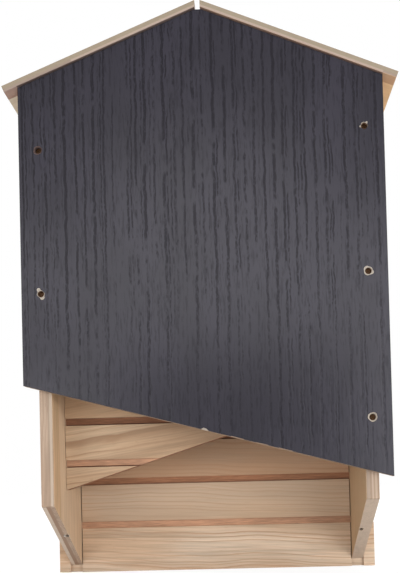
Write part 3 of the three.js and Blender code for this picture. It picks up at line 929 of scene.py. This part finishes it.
def make_roof_board(side, name):
    """Its bands lie along the slope, between its underside and its upper face."""
    board_low, board_high, _, board_top = outline_of_front_board()
    shoulder, peak = (Vector((x, 0.0, board_top(x))) for x in (side * board_high.x, side * near_ridge))
    slope = side * math.atan2(peak.z - shoulder.z, abs(shoulder.x) - abs(peak.x))
    turn = (0.0, slope, 0.0)
    straight = Matrix.Rotation(-slope, 3, "Y")
    node = name + "_roof_board"
    levels = [(straight @ vert.co).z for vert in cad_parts[node].data.vertices]
    under, over = min(levels), max(levels)
    below, skin = under - roof_clear, under + roof_under_skin
    seam = sorted(((straight @ shoulder).x, (straight @ Vector((0.0, 0.0, peak.z))).x))
    stain = roof_stain_span[side]
    ahead, front = roof_foremost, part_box(node)[0].y + roof_front_skin
    bands = [((-far, ahead, over - roof_upper_height), (far, front, over + roof_clear),
              roof_upper_colour, 0.9),
             ((-far, ahead, under), (far, front, under + roof_lower_height), roof_lower_colour, 0.9),
             ((stain[0], ahead, under), (stain[1], front, under + roof_stain_height),
              roof_stain_colour, 0.85),
             # the underside, made lighter as painted light from below
             ((-far, ahead, below), (far, roof_rearmost, skin), roof_under_lit_colour[side], 0.9),
             # its front strip, darker as painted shade
             ((-far, ahead, below), (far, board_high.y + roof_under_front_shade_depth, skin),
              roof_under_front_shade_colour[side], 0.95),
             # the seam over the front board, a painted contact shadow
             ((seam[0], ahead, below), (seam[1], board_low.y + roof_seam_shadow_depth, skin),
              roof_seam_shadow_colour[side], 0.95)]
    pine = planed_pine(name + " roof pine", roof_wood, (side * 0.077, -0.05, 0.1), turn, 2.6 * mm,
                       1.2 * mm, 0.7, bands, turn)
    eased_board(node, pine)


# Room

def seen_straight(tree):
    """1 for what the camera sees, also in a reflection or through glass."""
    path = add(tree, "LightPath").outputs
    seen = calc(tree, "MAXIMUM", path["Is Camera Ray"], path["Is Glossy Ray"])
    return calc(tree, "MAXIMUM", seen, path["Is Transmission Ray"])


def make_floor():
    build = bmesh.new()
    bmesh.ops.create_grid(build, x_segments=1, y_segments=1, size=floor_half)
    bmesh.ops.translate(build, verts=build.verts, vec=(0, 0, cad_box[0].z - floor_gap))
    material, tree, shader = new_material("pale floor")
    shader.inputs["Base Color"].default_value = (0.85, 0.85, 0.85, 1)
    shader.inputs["Roughness"].default_value = 0.9
    glow = add(tree, "Emission", {"Color": (1, 1, 1, 1), "Strength": floor_glow}).outputs[0]
    away = add(tree, "VectorMath", {0: object_place(tree)}, operation="LENGTH").outputs["Value"]
    share = remap(tree, away, *floor_glow_reach, floor_glow_near, 1.0)
    share = calc(tree, "MULTIPLY", seen_straight(tree), share)
    both = add(tree, "MixShader", {0: share, 1: shader.outputs[0], 2: glow}).outputs[0]
    tree.links.new(both, tree.nodes["Material Output"].inputs["Surface"])
    new_mesh_object("floor", build, material)


def make_world():
    world = bpy.data.worlds.new("white room")
    world.use_nodes = True
    tree = world.node_tree
    strength = remap(tree, seen_straight(tree), 0.0, 1.0, ambient_strength, 1.0, smooth=False)
    background = tree.nodes["Background"]
    background.inputs["Color"].default_value = (1, 1, 1, 1)
    tree.links.new(strength, background.inputs["Strength"])
    bpy.context.scene.world = world


def make_softboxes():
    target = (cad_box[0] + cad_box[1]) / 2
    for count, (place, size, power) in enumerate(softboxes):
        light = bpy.data.lights.new(f"softbox {count + 1}", "AREA")
        light.shape, light.size, light.size_y = "RECTANGLE", *size
        light.energy = power
        lamp = place_object(light.name, light)
        lamp.location = place
        lamp.rotation_euler = (target - Vector(place)).to_track_quat("-Z", "Y").to_euler()
        lamp.visible_glossy = lamp.visible_camera = False


def make_dark_cards():
    material, _, shader = new_material("black card")
    shader.inputs["Base Color"].default_value = (0.01, 0.01, 0.01, 1)
    shader.inputs["Roughness"].default_value = 1.0
    for count, (place, (wide, tall), turn) in enumerate(dark_cards):
        build = bmesh.new()
        bmesh.ops.create_grid(build, x_segments=1, y_segments=1, size=0.5)
        bmesh.ops.scale(build, verts=build.verts, vec=(wide, tall, 1.0))
        card = new_mesh_object(f"dark_card_{count + 1}", build, material)
        card.location, card.rotation_euler = place, turn
        for ray in ("camera", "diffuse", "transmission", "shadow", "volume_scatter"):
            setattr(card, "visible_" + ray, False)


def make_camera():
    lens = bpy.data.cameras.new("camera")
    lens.sensor_fit, lens.sensor_width = "HORIZONTAL", sensor_width
    lens.lens = focal_length_px / image_width * sensor_width
    lens.shift_x = (image_width / 2 - principal_point_px[0]) / image_width
    lens.shift_y = (principal_point_px[1] - image_height / 2) / image_width
    lens.clip_start = nearest_seen
    camera = place_object("camera", lens)
    turn = (Matrix.Rotation(camera_yaw, 4, "Z") @ Matrix.Rotation(camera_pitch, 4, "X")
            @ Matrix.Rotation(camera_roll, 4, "Y") @ Matrix.Rotation(math.pi / 2, 4, "X"))
    camera.matrix_world = Matrix.Translation(camera_place) @ turn
    bpy.context.scene.camera = camera


# Assembly

make_camera()
make_world()
make_softboxes()
make_dark_cards()
make_floor()

# The groove floors are redder and darker than the planed faces, partly as a sawn finish and partly as painted
# shade and bounced light in the grooves
sawn_and_shaded_groove = sawn_pine("sawn pine", (0.53, 0.30, 0.185))
make_back_board(sawn_and_shaded_groove)
make_partition(sawn_and_shaded_groove)

board_pith, board_rings = (0.02, 0.03, 0.0), 2.9 * mm
# The splinters are pale torn wood, made brighter still as painted light
splinter_with_painted_light = planed_pine("fresh splinter with painted light", splinter_wood_and_light, board_pith, along_z, board_rings)
for side, name in ((-1, "left"), (1, "right")):
    make_side_panel(side, name, splinter_with_painted_light)
    make_roof_board(side, name)

make_front_board(charcoal_coat(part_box("front_board")[0].y),
                 planed_pine("front board core", core_wood, board_pith, along_z, board_rings),
                 planed_pine("torn wood", torn_wood, board_pith, along_z, board_rings),
                 # The deep hole walls are darker as painted shade
                 sawn_pine("hole wall in painted shade", (0.21, 0.12, 0.068)),
                 sawn_pine("coating run into the hole", (0.088, 0.058, 0.052)))

bronze = worn_metal("dark bronze", (0.13, 0.068, 0.034), 0.9, 0.34, 0.12)
steel = worn_metal("bright steel", (0.42, 0.36, 0.31), 1.0, 0.34, 0.1)
zinc = worn_metal("zinc plate", (0.55, 0.56, 0.57), 1.0, 0.38, 0.12, fineness=260.0)
for node in torn_holes:
    make_screw(node, front_screw_size, front_screw_plain, bronze)
for name in ("left", "right"):
    make_screw(f"hanger_screw_{name}", hanger_screw_size, hanger_screw_plain, zinc,
               along=(0, 1, 0))
    for count in (1, 2, 3):
        make_nail(f"rear_nail_{name}_{count}", long_nail_size, steel)
    for count in (1, 2):
        make_nail(f"partition_nail_{name}_{count}", short_nail_size, steel)
        for row in ("front", "rear"):
            make_nail(f"roof_nail_{name}_{row}_{count}", short_nail_size, steel)
plate_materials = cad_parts["hanger_plate"].data.materials
plate_materials.clear()
plate_materials.append(zinc)

bpy.context.scene.view_settings.view_transform = "Standard"
